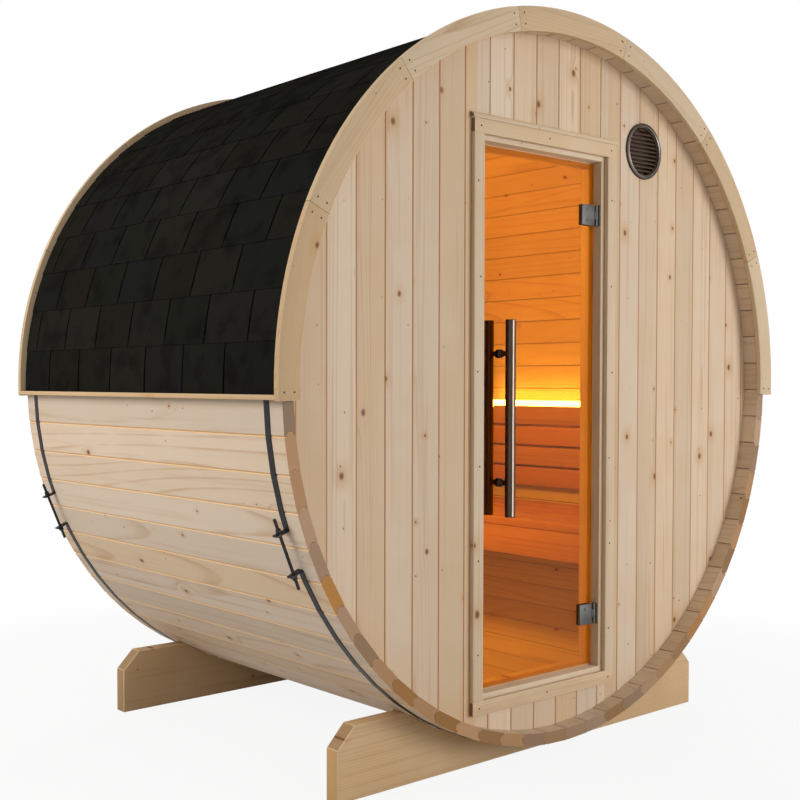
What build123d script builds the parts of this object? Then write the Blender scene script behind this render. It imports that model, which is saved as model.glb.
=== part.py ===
"""Barrel sauna: coopered staves on two cradles, board end walls, a glass door and a shingled roof.

Frame: origin on the ground under the middle of the barrel, X across it, Y along its axis with the
door at the -Y end, Z up. Lengths are millimetres, angles are degrees.
"""
import os
from math import cos, degrees, radians, sin, sqrt, tan

from build123d import *

full_turn = 360.0

# Barrel
barrel_radius = 1000.0          # axis to the flat outer face of a stave
barrel_length = 1320.0
stave_count = 69
stave_thickness = 33.0
stave_lip = 3.0                 # flat left beside the bead on either face
bead_sides = 6                  # the bead is half of a bar with this many sides
stave_gap = 0.3                 # play between neighbouring staves
joint_angle = 186.7             # where one stave joint falls, on the left side
croze_depth = 8.0               # groove in the staves that holds an end wall
seat_gap = 0.3                  # play between pieces that seat on each other
overrun = 5.0                   # how far a cutting shape passes what it cuts

# Cradles
cradle_length = 1500.0
cradle_height = 190.0
cradle_thickness = 45.0
cradle_chamfer = 56.0
cradle_inset = 105.0            # stave end to the outer face of a cradle
ground_clearance = 45.0         # ground to the lowest stave

# End walls
wall_recess = 50.0              # stave end to the outer face of an end wall
wall_thickness = 38.0

# Doorway and its frame
door_centre_x = -42.0
door_clear_width = 492.0
door_sill_rise = 135.0          # inner face of the lowest stave up to the sill
door_head_drop = 318.0          # inner face of the highest stave down to the head
jamb_thickness = 28.0
jamb_depth = 64.0
stop_width = 16.0               # how far the rebate stops stand into the doorway
casing_width = 38.0
casing_thickness = 14.0
casing_reveal = 14.0            # jamb edge left showing inside a casing
cap_radius = 17.0               # quarter-round cap over the head casing
cap_overhang = 5.0

# Glass door
glass_thickness = 8.0
glass_setback = 22.0            # jamb front to glass front
glass_side_gap = 8.0
glass_end_gap = 7.0
stop_gap = 5.0                  # glass back to the stops

# Hinges
hinge_height = 60.0
hinge_plate_width = 54.0
hinge_plate_thickness = 8.0
hinge_back_thickness = 4.0
hinge_back_width = 44.0
hinge_end_distance = 149.0      # glass end to the middle of a hinge
knuckle_radius = 4.5
knuckle_height = 24.0           # middle knuckle, on the door's plate
knuckle_gap = 0.4
pin_radius = 2.0
pin_play = 0.05
leaf_thickness = 3.0
leaf_width = 18.0
leaf_clearance = 2.5            # door plate to the knuckles on the jamb
hinge_axis_setback = 12.0       # jamb front to the hinge axis

# Pull handles
handle_radius = 14.5
handle_length = 537.0
handle_drop = 92.0              # barrel axis down to the handle's middle
handle_edge_distance = 79.0     # free edge of the glass to the handle
handle_standoff = 42.0          # glass middle to the handle's axis
post_radius = 8.0
post_spacing = 352.0

# Round vent in the wall
vent_side_gap = 62.0            # door casing to the vent's rim
vent_edge_distance = 158.0      # staves to the vent's middle
vent_radius = 84.0
vent_ring_width = 11.0
vent_ring_thickness = 7.0
vent_ring_sides = 40
louvre_count = 12
louvre_thickness = 2.0
louvre_depth = 13.0
louvre_tilt = 40.0

# Arched fascia boards
fascia_rise = 24.0              # how far they stand above the staves
fascia_width = 65.0
fascia_thickness = 16.0
fascia_boards = 7
fascia_board_angle = 26.3
fascia_joint = 0.4

# Roof
shingle_thickness = 6.0
shingle_drop_angle = 1.2        # how far the shingles pass below the barrel's middle
ridge_joint_angle = 0.03
batten_height = 12.0
batten_depth = 20.0

# Steel bands
band_width = 20.0
band_thickness = 1.5
band_inset = 60.0               # stave end to the middle of a band
band_gap_angle = 6.0            # left open at the tensioner
tensioner_angle = 202.8
ear_height = 36.0
ear_thickness = 4.0
rod_radius = 4.0
rod_sides = 8
rod_length = 186.0
rod_height = 22.0               # stave face to the rod's axis
rod_play = 0.3
nut_across = 13.0
nut_height = 10.0
nut_sides = 6

# Bench
seat_rise = 527.0               # inner face of the lowest stave up to the seat
seat_rear_gap = 48.8            # lower rear edge of the seat to the staves
bench_door_gap = 68.0           # door frame to the front edge of the bench
seat_slats = 5
seat_slat_thickness = 27.0
seat_slat_gap = 12.0
apron_height = 90.0
apron_thickness = 22.0
ledger_height = 58.0
ledger_depth = 40.0
backrest_rise = 50.0            # seat up to the lowest backrest slat
back_slats = 4
back_slat_height = 70.0
back_slat_thickness = 20.0
back_slat_gap = 8.0
back_post_width = 45.0
back_post_depth = 16.0
back_post_inset = 30.0
light_height = 34.0
light_depth = 14.0
light_rise = 22.0               # how far the diffuser stands above the backrest

# Places that follow from the sizes above
axis_z = ground_clearance + barrel_radius
front_y = -barrel_length / 2
stave_pitch = full_turn / stave_count
half_pitch = stave_pitch / 2
inner_radius = barrel_radius - stave_thickness
edge_radius = barrel_radius / cos(radians(half_pitch))
wall_radius = inner_radius + croze_depth - seat_gap
wall_front = front_y + wall_recess
wall_back = wall_front + wall_thickness
door_left = door_centre_x - door_clear_width / 2
door_right = door_centre_x + door_clear_width / 2
door_bottom = axis_z - inner_radius + door_sill_rise
door_top = axis_z + inner_radius - door_head_drop
rough_left = door_left - jamb_thickness
rough_right = door_right + jamb_thickness
rough_bottom = door_bottom - jamb_thickness
rough_top = door_top + jamb_thickness
casing_left = door_left - casing_reveal - casing_width
casing_right = door_right + casing_reveal + casing_width
casing_bottom = door_bottom - casing_reveal - casing_width
casing_top = door_top + casing_reveal + casing_width
glass_front = wall_front + glass_setback
glass_back = glass_front + glass_thickness
glass_left = door_left + glass_side_gap
glass_right = door_right - glass_side_gap
glass_bottom = door_bottom + glass_end_gap
glass_top = door_top - glass_end_gap
stop_front = glass_back + stop_gap
hinge_x = door_right - leaf_thickness - knuckle_radius
hinge_y = wall_front + hinge_axis_setback
hinge_rises = (glass_bottom + hinge_end_distance, glass_top - hinge_end_distance)
vent_bore = vent_radius - vent_ring_width
vent_x = casing_right + vent_side_gap + vent_radius
vent_z = axis_z + sqrt((inner_radius - vent_edge_distance) ** 2 - vent_x**2)
band_inner = barrel_radius + seat_gap
shingle_inner = band_inner + band_thickness + seat_gap
shingle_outer = shingle_inner + shingle_thickness
shingle_edge_radius = shingle_outer / cos(radians(half_pitch))
batten_inner = (band_inner + band_thickness) / cos(radians(half_pitch)) + seat_gap
fascia_outer = barrel_radius + fascia_rise
fascia_inner = fascia_outer - fascia_width
room_front = wall_back
room_back = -wall_back

nodes = {}


def block(low, high):
    """A box between two corners."""
    size = [b - a for a, b in zip(low, high)]
    return Pos(*low) * Box(*size, align=(Align.MIN, Align.MIN, Align.MIN))


def prism(sketch, low_y, high_y):
    """A sketch in X and Z drawn out along Y."""
    return Pos(0, high_y, 0) * extrude(Plane.XZ * sketch, amount=high_y - low_y)


def around(angle):
    """Turns what is drawn at the barrel's top to an angle counted from +X towards +Z."""
    return Pos(0, 0, axis_z) * Rot(0, 90 - angle, 0)


def polar(radius, angle):
    """A point in X and Z at a radius and an angle about the barrel's axis."""
    return (radius * cos(radians(angle)), axis_z + radius * sin(radians(angle)))


def arch(inner, outer, low_angle, high_angle):
    """A piece of a ring about the barrel's axis, as a sketch in X and Z."""
    angles = (low_angle, (low_angle + high_angle) / 2, high_angle)
    rim = ThreePointArc(*[polar(outer, angle) for angle in angles])
    soffit = ThreePointArc(*[polar(inner, angle) for angle in angles])
    ends = [Line(rim @ 1, soffit @ 1), Line(soffit @ 0, rim @ 0)]
    return make_face([rim, soffit, *ends])


def stave_ring(apothem):
    """A sketch with one side for each stave, at a distance from the barrel's axis."""
    return RegularPolygon(apothem, stave_count, major_radius=False, rotation=joint_angle)


def upright(radius, x, y, low_z, high_z):
    """A round bar along Z."""
    return Pos(x, y, low_z) * Cylinder(
        radius, high_z - low_z, align=(Align.CENTER, Align.CENTER, Align.MIN)
    )


def level(radius, x, z, low_y, high_y):
    """A round bar along Y."""
    return Pos(x, high_y, z) * Rot(90, 0, 0) * Cylinder(
        radius, high_y - low_y, align=(Align.CENTER, Align.CENTER, Align.MIN)
    )


def make_stave():
    """One stave at the barrel's top, with a bead on its right edge and a cove in its left."""
    slope = tan(radians(half_pitch))
    half_gap = stave_gap / 2
    outer_half = barrel_radius * slope - half_gap
    inner_half = inner_radius * slope - half_gap
    middle = barrel_radius - stave_thickness / 2
    bead_radius = stave_thickness / 2 - stave_lip
    half_side = full_turn / bead_sides / 2
    cove_radius = bead_radius + stave_gap / cos(radians(half_side))
    board = make_face(
        Polyline(
            (-outer_half, barrel_radius),
            (outer_half, barrel_radius),
            (inner_half, inner_radius),
            (-inner_half, inner_radius),
            close=True,
        )
    )
    bead = RegularPolygon(bead_radius, bead_sides, rotation=half_side - half_pitch)
    cove = RegularPolygon(cove_radius, bead_sides, rotation=half_side + half_pitch)
    profile = board + Pos(middle * slope, middle) * bead - Pos(-middle * slope, middle) * cove
    stave = prism(profile, front_y, -front_y)
    for low_y, high_y in ((wall_front, wall_back), (-wall_back, -wall_front)):
        stave -= block(
            (-2 * outer_half, low_y - seat_gap, inner_radius - overrun),
            (2 * outer_half, high_y + seat_gap, inner_radius + croze_depth),
        )
    return stave


def make_barrel():
    """The ring of staves, in eight groups named for where they lie."""
    names = ("right", "upper_right", "top", "upper_left", "left", "lower_left", "bottom", "lower_right")
    group_angle = full_turn / len(names)
    groups = {name: [] for name in names}
    stave = make_stave()
    for number in range(stave_count):
        angle = (joint_angle + half_pitch + number * stave_pitch) % full_turn
        name = names[round(angle / group_angle) % len(names)]
        groups[name].append(around(angle) * stave)
    for name, staves in groups.items():
        nodes[f"staves_{name}"] = staves


def make_cradles():
    """Two planks on edge, hollowed to the barrel, with their upper corners cut off."""
    half = cradle_length / 2
    shoulder = cradle_height - cradle_chamfer
    outline = make_face(
        Polyline(
            (-half, 0),
            (half, 0),
            (half, shoulder),
            (half - cradle_chamfer, cradle_height),
            (cradle_chamfer - half, cradle_height),
            (-half, shoulder),
            close=True,
        )
    )
    plank = outline - Pos(0, axis_z) * Circle(edge_radius + seat_gap)
    outer = front_y + cradle_inset
    nodes["front_cradle"] = [prism(plank, outer, outer + cradle_thickness)]
    nodes["rear_cradle"] = [prism(plank, -outer - cradle_thickness, -outer)]


def make_walls():
    """Board walls cut to the grooves in the staves, the front one split round the doorway."""
    disc = Pos(0, axis_z) * stave_ring(wall_radius)
    front = prism(disc, wall_front, wall_back)
    reach = barrel_radius
    low_y = wall_front - overrun
    high_y = wall_back + overrun
    low_z = axis_z - reach
    high_z = axis_z + reach
    low_x = rough_left - seat_gap
    high_x = rough_right + seat_gap
    left = block((-reach, low_y, low_z), (low_x, high_y, high_z))
    right = block((high_x, low_y, low_z), (reach, high_y, high_z))
    over = block((low_x, low_y, rough_top + seat_gap), (high_x, high_y, high_z))
    under = block((low_x, low_y, low_z), (high_x, high_y, rough_bottom - seat_gap))
    nodes["front_wall_left"] = [front & left]
    nodes["front_wall_right"] = [(front & right) - level(vent_bore, vent_x, vent_z, low_y, high_y)]
    nodes["front_wall_over_door"] = [front & over]
    nodes["front_wall_under_door"] = [front & under]
    nodes["rear_wall"] = [prism(disc, -wall_back, -wall_front)]


def make_door_frame():
    """Rebated jambs, head and sill in the wall, with casings and a cap over the joint."""
    back = wall_front + jamb_depth
    head = block((rough_left, wall_front, door_top), (rough_right, back, rough_top))
    head += block((rough_left, stop_front, door_top - stop_width), (rough_right, back, door_top))
    sill = block((rough_left, wall_front, rough_bottom), (rough_right, back, door_bottom))
    sill += block((rough_left, stop_front, door_bottom), (rough_right, back, door_bottom + stop_width))
    left = block((rough_left, wall_front, rough_bottom), (door_left, back, rough_top))
    left += block((door_left, stop_front, rough_bottom), (door_left + stop_width, back, rough_top))
    right = block((door_right, wall_front, rough_bottom), (rough_right, back, rough_top))
    right += block((door_right - stop_width, stop_front, rough_bottom), (door_right, back, rough_top))
    nodes["door_jamb_left"] = [left - head - sill]
    nodes["door_jamb_right"] = [right - head - sill]
    nodes["door_head"] = [head]
    nodes["door_sill"] = [sill]

    face = wall_front - casing_thickness
    side_bottom = casing_bottom + casing_width
    side_top = casing_top - casing_width
    nodes["casing_left"] = [
        block((casing_left, face, side_bottom), (casing_left + casing_width, wall_front, side_top))
    ]
    nodes["casing_right"] = [
        block((casing_right - casing_width, face, side_bottom), (casing_right, wall_front, side_top))
    ]
    nodes["casing_head"] = [block((casing_left, face, side_top), (casing_right, wall_front, casing_top))]
    nodes["casing_bottom"] = [
        block((casing_left, face, casing_bottom), (casing_right, wall_front, side_bottom))
    ]
    low_x = casing_left - cap_overhang
    length = casing_right + cap_overhang - low_x
    round_bar = Pos(low_x, wall_front, casing_top) * Rot(0, 90, 0) * Cylinder(
        cap_radius, length, align=(Align.CENTER, Align.CENTER, Align.MIN)
    )
    quarter = block(
        (low_x - overrun, wall_front - cap_radius - overrun, casing_top),
        (low_x + length + overrun, wall_front, casing_top + cap_radius + overrun),
    )
    nodes["drip_cap"] = [round_bar & quarter]


def make_hinges():
    """Two knuckle hinges: leaves with fixed pins on the jamb, and plates that clamp the glass."""
    leaves = []
    clamps = []
    half = hinge_height / 2
    half_middle = knuckle_height / 2
    leaf_left = door_right - leaf_thickness
    plate_right = hinge_x - knuckle_radius - leaf_clearance
    back_right = door_right - stop_width - seat_gap - hinge_back_thickness
    for rise in hinge_rises:
        low_z = rise - half
        high_z = rise + half
        leaf = block(
            (leaf_left, hinge_y - leaf_width / 2, low_z),
            (door_right, hinge_y + leaf_width / 2, high_z),
        )
        for bottom, top in ((low_z, rise - half_middle), (rise + half_middle, high_z)):
            leaf += upright(knuckle_radius, hinge_x, hinge_y, bottom, top)
            leaf += block(
                (hinge_x, hinge_y - knuckle_radius / 2, bottom),
                (leaf_left, hinge_y + knuckle_radius / 2, top),
            )
        leaves.append(leaf + upright(pin_radius, hinge_x, hinge_y, low_z, high_z))

        bottom = rise - half_middle + knuckle_gap
        top = rise + half_middle - knuckle_gap
        clamp = block(
            (plate_right - hinge_plate_width, glass_front - hinge_plate_thickness, low_z),
            (plate_right, glass_front, high_z),
        )
        clamp += upright(knuckle_radius, hinge_x, hinge_y, bottom, top)
        clamp += block((plate_right, hinge_y, bottom), (hinge_x, glass_front - hinge_back_thickness, top))
        clamps.append(clamp - upright(pin_radius + pin_play, hinge_x, hinge_y, low_z, high_z))
        clamps.append(
            block(
                (back_right - hinge_back_width, glass_back, low_z),
                (back_right, glass_back + hinge_back_thickness, high_z),
            )
        )
    nodes["hinge_leaves"] = leaves
    nodes["hinge_clamps"] = clamps


def make_door():
    """The glass pane and the pull handles on its two faces."""
    nodes["door_glass"] = [
        block((glass_left, glass_front, glass_bottom), (glass_right, glass_back, glass_top))
    ]
    x = glass_left + handle_edge_distance
    middle_z = axis_z - handle_drop
    half = handle_length / 2
    glass_middle = (glass_front + glass_back) / 2
    outer_y = glass_middle - handle_standoff
    inner_y = glass_middle + handle_standoff
    outer = upright(handle_radius, x, outer_y, middle_z - half, middle_z + half)
    inner = upright(handle_radius, x, inner_y, middle_z - half, middle_z + half)
    for rise in (middle_z - post_spacing / 2, middle_z + post_spacing / 2):
        outer += level(post_radius, x, rise, outer_y, glass_front)
        inner += level(post_radius, x, rise, glass_back, inner_y)
    nodes["outer_handle"] = [outer]
    nodes["inner_handle"] = [inner]


def make_vent():
    """A flat ring over a round hole in the wall, with tilted louvres held in the hole."""
    rim = RegularPolygon(vent_radius, vent_ring_sides)
    opening = RegularPolygon(vent_bore, vent_ring_sides, major_radius=False)
    ring = Pos(vent_x, vent_z) * (rim - opening)
    nodes["vent_ring"] = [prism(ring, wall_front - vent_ring_thickness, wall_front)]
    pitch = 2 * vent_bore / louvre_count
    tilt = radians(louvre_tilt)
    half_height = (louvre_depth * sin(tilt) + louvre_thickness * cos(tilt)) / 2
    half_depth = (louvre_depth * cos(tilt) + louvre_thickness * sin(tilt)) / 2
    louvres = []
    for number in range(louvre_count):
        offset = (number + 0.5) * pitch - vent_bore
        half_length = sqrt(vent_bore**2 - (abs(offset) + half_height) ** 2) - seat_gap
        blade = Box(2 * half_length, louvre_depth, louvre_thickness)
        place = Pos(vent_x, wall_front + half_depth, vent_z + offset)
        louvres.append(place * Rot(louvre_tilt, 0, 0) * blade)
    nodes["vent_louvres"] = louvres


def make_fascias():
    """Arched boards over the stave ends of the upper half, butted end to end."""
    start = 90 - fascia_boards * fascia_board_angle / 2
    half_joint = degrees(fascia_joint / 2 / fascia_outer)
    sketches = []
    for number in range(fascia_boards):
        low = start + number * fascia_board_angle
        sketches.append(
            arch(fascia_inner, fascia_outer, low + half_joint, low + fascia_board_angle - half_joint)
        )
    nodes["front_fascia"] = [prism(s, front_y - fascia_thickness, front_y) for s in sketches]
    nodes["rear_fascia"] = [prism(s, -front_y, fascia_thickness - front_y) for s in sketches]


def make_roof():
    """The shingle layer over the flats of the staves, in two halves, with a batten under each eave."""
    reach = 2 * barrel_radius
    hoop = Pos(0, axis_z) * (stave_ring(shingle_outer) - stave_ring(shingle_inner))
    for name, low, high in (
        ("right", -shingle_drop_angle, 90 - ridge_joint_angle),
        ("left", 90 + ridge_joint_angle, 180 + shingle_drop_angle),
    ):
        quarter = make_face(Polyline((0, axis_z), polar(reach, low), polar(reach, high), close=True))
        nodes[f"roof_{name}"] = [prism(hoop & quarter, front_y, -front_y)]
    top = axis_z - shingle_edge_radius * sin(radians(shingle_drop_angle)) - seat_gap
    battens = []
    for side in (-1, 1):
        low_x, high_x = sorted((side * batten_inner, side * (batten_inner + batten_depth)))
        battens.append(block((low_x, front_y, top - batten_height), (high_x, -front_y, top)))
    nodes["eave_battens"] = battens


def make_bands():
    """Flat steel bands bent over the staves, each drawn tight by a threaded rod through two ears."""
    half_gap = band_gap_angle / 2
    reach = 2 * barrel_radius
    hoop = Pos(0, axis_z) * (stave_ring(band_inner + band_thickness) - stave_ring(band_inner))
    sides = [polar(reach, tensioner_angle + turn) for turn in (-half_gap, half_gap)]
    strap = hoop - make_face(Polyline((0, axis_z), *sides, close=True))
    ear_bottom = edge_radius + seat_gap
    rod_z = barrel_radius + rod_height
    nut_x = rod_z * tan(radians(half_gap)) + ear_thickness + nut_height / 2
    rod_bar, rod_hole = (
        extrude(RegularPolygon(radius, rod_sides), amount=rod_length / 2, both=True)
        for radius in (rod_radius, rod_radius + rod_play)
    )
    nut_outline = RegularPolygon(nut_across / 2, nut_sides, major_radius=False)
    nut = extrude(nut_outline, amount=nut_height / 2, both=True)
    tensioners = []
    for name, middle_y in (("front", front_y + band_inset), ("rear", -front_y - band_inset)):
        low_y = middle_y - band_width / 2
        high_y = middle_y + band_width / 2
        band = prism(strap, low_y, high_y)
        for turn in (-half_gap, half_gap):
            ear = block(
                (-ear_thickness / 2, low_y, ear_bottom),
                (ear_thickness / 2, high_y, ear_bottom + ear_height),
            )
            band += around(tensioner_angle + turn) * ear
        along = Pos(0, middle_y, rod_z) * Rot(0, 90, 0)
        nodes[f"{name}_band"] = [band - around(tensioner_angle) * along * rod_hole]
        rod = rod_bar + Pos(0, 0, nut_x) * nut + Pos(0, 0, -nut_x) * nut
        tensioners.append(around(tensioner_angle) * along * rod)
    nodes["band_tensioners"] = tensioners


def make_bench():
    """The slatted bench on the right: seat, apron, wall ledgers, backrest and its light."""
    seat_top = axis_z - inner_radius + seat_rise
    seat_bottom = seat_top - seat_slat_thickness
    low_y = room_front + seat_gap
    high_y = room_back - seat_gap
    seat_front = rough_right + bench_door_gap
    seat_end = sqrt(inner_radius**2 - (axis_z - seat_bottom) ** 2) - seat_rear_gap
    step = (seat_end - seat_front + seat_slat_gap) / seat_slats
    nodes["bench_seat"] = [
        block(
            (seat_front + number * step, low_y, seat_bottom),
            (seat_front + (number + 1) * step - seat_slat_gap, high_y, seat_top),
        )
        for number in range(seat_slats)
    ]
    ledger_left = seat_front + apron_thickness
    nodes["bench_apron"] = [
        block((seat_front, low_y, seat_bottom - apron_height), (ledger_left, high_y, seat_bottom))
    ]
    ledger_bottom = seat_bottom - ledger_height
    ledger_right = seat_end - ledger_height
    nodes["bench_ledgers"] = [
        block((ledger_left, y, ledger_bottom), (ledger_right, y + ledger_depth, seat_bottom))
        for y in (room_front, room_back - ledger_depth)
    ]
    post_bottom = seat_top + backrest_rise
    pitch = back_slat_height + back_slat_gap
    post_rear = sqrt(inner_radius**2 - (axis_z - post_bottom) ** 2) - seat_gap
    back_rear = post_rear - back_post_depth
    back_front = back_rear - back_slat_thickness
    back_top = post_bottom + back_slats * pitch - back_slat_gap
    nodes["backrest_slats"] = [
        block(
            (back_front, low_y, post_bottom + number * pitch),
            (back_rear, high_y, post_bottom + number * pitch + back_slat_height),
        )
        for number in range(back_slats)
    ]
    post_low = room_front + back_post_inset
    nodes["backrest_posts"] = [
        block((back_rear, y, post_bottom), (post_rear, y + back_post_width, back_top))
        for y in (post_low, -post_low - back_post_width)
    ]
    light_low = post_low + back_post_width + seat_gap
    light_rear = back_rear + light_depth
    light_top = back_top + light_rise
    nodes["light_strip"] = [
        block((back_rear, light_low, light_top - light_height), (light_rear, -light_low, light_top))
    ]


make_barrel()
make_cradles()
make_walls()
make_door_frame()
make_hinges()
make_door()
make_vent()
make_fascias()
make_roof()
make_bands()
make_bench()

os.makedirs("parts", exist_ok=True)
for name, shapes in nodes.items():
    solids = [solid for shape in shapes for solid in shape.solids()]
    export_step(Compound(children=solids) if len(solids) > 1 else solids[0], f"parts/{name}.step")
    print(name, len(solids))
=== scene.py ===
import math
import random

import bpy
from mathutils import Matrix, Vector


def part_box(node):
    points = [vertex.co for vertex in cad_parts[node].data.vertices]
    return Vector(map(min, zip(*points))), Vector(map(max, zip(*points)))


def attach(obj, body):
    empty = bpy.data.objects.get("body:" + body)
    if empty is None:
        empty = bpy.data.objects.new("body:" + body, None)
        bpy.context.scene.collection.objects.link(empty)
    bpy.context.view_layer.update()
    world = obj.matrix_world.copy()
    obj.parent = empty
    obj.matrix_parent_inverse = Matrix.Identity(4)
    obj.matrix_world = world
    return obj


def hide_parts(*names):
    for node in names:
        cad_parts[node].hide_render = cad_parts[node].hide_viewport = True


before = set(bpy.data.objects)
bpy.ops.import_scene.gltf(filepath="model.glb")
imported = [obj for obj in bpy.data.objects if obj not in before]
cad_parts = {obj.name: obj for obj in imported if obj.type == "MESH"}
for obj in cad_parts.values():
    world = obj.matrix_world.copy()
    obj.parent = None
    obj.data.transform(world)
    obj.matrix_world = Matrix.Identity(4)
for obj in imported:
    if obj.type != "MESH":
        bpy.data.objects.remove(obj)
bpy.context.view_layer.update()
dice = random.Random(7)

# lengths in metres: points this near count as one, and are welded
same, close, weld = 1e-6, 1e-5, 0.00002
forward, leftward = (0, -1, 0), (-1, 0, 0)
upright, level, endways = (0, 0, 1), (1, 0, 0), (0, 1, 0)


def pointsOf(node):
    return [vertex.co.copy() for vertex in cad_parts[node].data.vertices]


# the barrel's axis and flats, read off the staves
staveParts = ["right", "upper_right", "top", "upper_left", "left", "lower_left", "bottom", "lower_right"]
staveNodes = ["staves_" + part for part in staveParts]
ringPoints = [point for node in staveNodes for point in pointsOf(node)]
axisZ = sum(p.z for p in ringPoints) / len(ringPoints)
staveLow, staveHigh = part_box("staves_top")
frontY, rearY = staveLow.y, staveHigh.y


def fromAxis(point):
    return math.hypot(point.x, point.z - axisZ)


cornerRadius = max(fromAxis(point) for point in ringPoints)


# small tools for modelling

def deselect():
    if bpy.context.mode != "OBJECT":
        bpy.ops.object.mode_set(mode="OBJECT")
    bpy.ops.object.select_all(action="DESELECT")


def only(*objects):
    deselect()
    for obj in objects:
        obj.select_set(True)
    bpy.context.view_layer.objects.active = objects[0]


def edit(obj, kind="FACE"):
    only(obj)
    bpy.context.tool_settings.mesh_select_mode = (kind == "VERT", kind == "EDGE", kind == "FACE")
    bpy.ops.object.mode_set(mode="EDIT")
    bpy.ops.mesh.select_all(action="SELECT")


def objectMode():
    bpy.ops.object.mode_set(mode="OBJECT")


def pickFaces(obj, test):
    deselect()
    mesh = obj.data
    mesh.vertices.foreach_set("select", [False] * len(mesh.vertices))
    mesh.edges.foreach_set("select", [False] * len(mesh.edges))
    mesh.polygons.foreach_set("select", [test(face) for face in mesh.polygons])
    only(obj)
    bpy.context.tool_settings.mesh_select_mode = (False, False, True)
    bpy.ops.object.mode_set(mode="EDIT")


def pickEdges(obj, test):
    deselect()
    mesh = obj.data
    mesh.vertices.foreach_set("select", [False] * len(mesh.vertices))
    mesh.polygons.foreach_set("select", [False] * len(mesh.polygons))
    ends = [(mesh.vertices[e.vertices[0]].co, mesh.vertices[e.vertices[1]].co) for e in mesh.edges]
    mesh.edges.foreach_set("select", [test(a, b) for a, b in ends])
    only(obj)
    bpy.context.tool_settings.mesh_select_mode = (False, True, False)
    bpy.ops.object.mode_set(mode="EDIT")


def mergeUp(obj):
    edit(obj, "VERT")
    bpy.ops.mesh.remove_doubles(threshold=weld)
    bpy.ops.mesh.normals_make_consistent(inside=False)
    objectMode()


# a swept section keeps one end face; the open end is filled
def closeEnds(obj):
    mergeUp(obj)
    pickEdges(obj, lambda a, b: False)
    bpy.ops.mesh.select_non_manifold()
    bpy.ops.mesh.edge_face_add()
    objectMode()
    mergeUp(obj)


def applyAll(obj):
    only(obj)
    for modifier in list(obj.modifiers):
        bpy.ops.object.modifier_apply(modifier=modifier.name)


def soften(obj, width, segments=2, angle=35):
    bevel = obj.modifiers.new("eased", "BEVEL")
    bevel.width = width
    bevel.segments = segments
    bevel.limit_method = "ANGLE"
    bevel.angle_limit = math.radians(angle)
    applyAll(obj)
    return obj


def carve(obj, tool, operation="DIFFERENCE"):
    cut = obj.modifiers.new("carve", "BOOLEAN")
    cut.operation = operation
    cut.solver = "EXACT"
    cut.object = tool
    applyAll(obj)
    bpy.data.objects.remove(tool)
    return obj


def place(obj, matrix):
    obj.matrix_world = matrix
    only(obj)
    bpy.ops.object.transform_apply(location=True, rotation=True, scale=True)
    return obj


def twin(obj, name, matrix=None):
    copy = obj.copy()
    copy.data = obj.data.copy()
    copy.name = name
    bpy.context.collection.objects.link(copy)
    if matrix is not None:
        copy.data.transform(matrix)
    return copy


def joined(name, parts):
    only(*parts)
    if len(parts) > 1:
        bpy.ops.object.join()
    whole = bpy.context.view_layer.objects.active
    whole.name = name
    whole.data.name = name
    return whole


def cuboid(name, low, high):
    low, high = Vector(low), Vector(high)
    deselect()
    bpy.ops.mesh.primitive_cube_add(size=1, location=(low + high) / 2, scale=high - low)
    obj = bpy.context.object
    obj.name = name
    bpy.ops.object.transform_apply(location=True, rotation=True, scale=True)
    return obj


# a round piece made as on a lathe: a ring drawn out step by step, each ring (radius, height)
def turned(name, rings, sides=24, tube=False):
    radius, height = rings[0]
    deselect()
    bpy.ops.mesh.primitive_circle_add(vertices=sides, radius=radius, location=(0, 0, height),
                                      fill_type="NOTHING" if tube else "NGON")
    obj = bpy.context.object
    obj.name = name
    bpy.ops.object.transform_apply(location=True)
    edit(obj, "EDGE" if tube else "FACE")
    for nextRadius, nextHeight in rings[1:]:
        shift = (0, 0, nextHeight - height)
        if tube:
            bpy.ops.mesh.extrude_edges_move(TRANSFORM_OT_translate={"value": shift})
        else:
            bpy.ops.mesh.extrude_region_move(TRANSFORM_OT_translate={"value": shift})
        scale = nextRadius / radius
        bpy.ops.transform.resize(value=(scale, scale, 1), center_override=(0, 0, nextHeight))
        radius, height = nextRadius, nextHeight
    if tube:
        objectMode()

        def onRim(*ends):
            return any(all(abs(math.hypot(p.x, p.y) - r) < same and abs(p.z - z) < same for p in ends)
                       for r, z in (rings[0], rings[-1]))
        pickEdges(obj, onRim)
        bpy.ops.mesh.bridge_edge_loops()
    objectMode()
    mergeUp(obj)
    return obj


# a turn that takes local +Z to the way given
def facing(way, centre=(0, 0, 0)):
    return Matrix.Translation(centre) @ Vector(way).to_track_quat("Z", "Y").to_matrix().to_4x4()


def copyOf(node, name):
    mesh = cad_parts[node].data.copy()
    obj = bpy.data.objects.new(name, mesh)
    bpy.context.collection.objects.link(obj)
    mesh.materials.clear()
    edit(obj, "VERT")
    bpy.ops.mesh.remove_doubles(threshold=weld)
    bpy.ops.mesh.dissolve_limited(angle_limit=math.radians(0.4))
    objectMode()
    return obj


def loose(obj):
    edit(obj)
    bpy.ops.mesh.separate(type="LOOSE")
    objectMode()
    return list(bpy.context.selected_objects)


def middleOf(obj):
    corners = [Vector(c) for c in obj.bound_box]
    return (corners[0] + corners[6]) / 2


def finish(piece, material, nodes=(), body="house", smooth=30):
    piece.data.materials.clear()
    piece.data.materials.append(material)
    only(piece)
    bpy.ops.object.shade_smooth_by_angle(angle=math.radians(smooth))
    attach(piece, body)
    if nodes:
        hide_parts(*nodes)
    return piece


# the run of the wood in one board: across, through and along it in metres, each board from its own log
# back faces, turned away from the outside, get a warmer tint: painted warm bounce light
log = dict(flatSawn=0.4, flatOff=0.03, sideOff=(0.04, 0.1), depth=(0.02, 0.07), length=30, squareTo=0.93,
           backFrom=0.9, paintedBounceTint=0.6)


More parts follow.
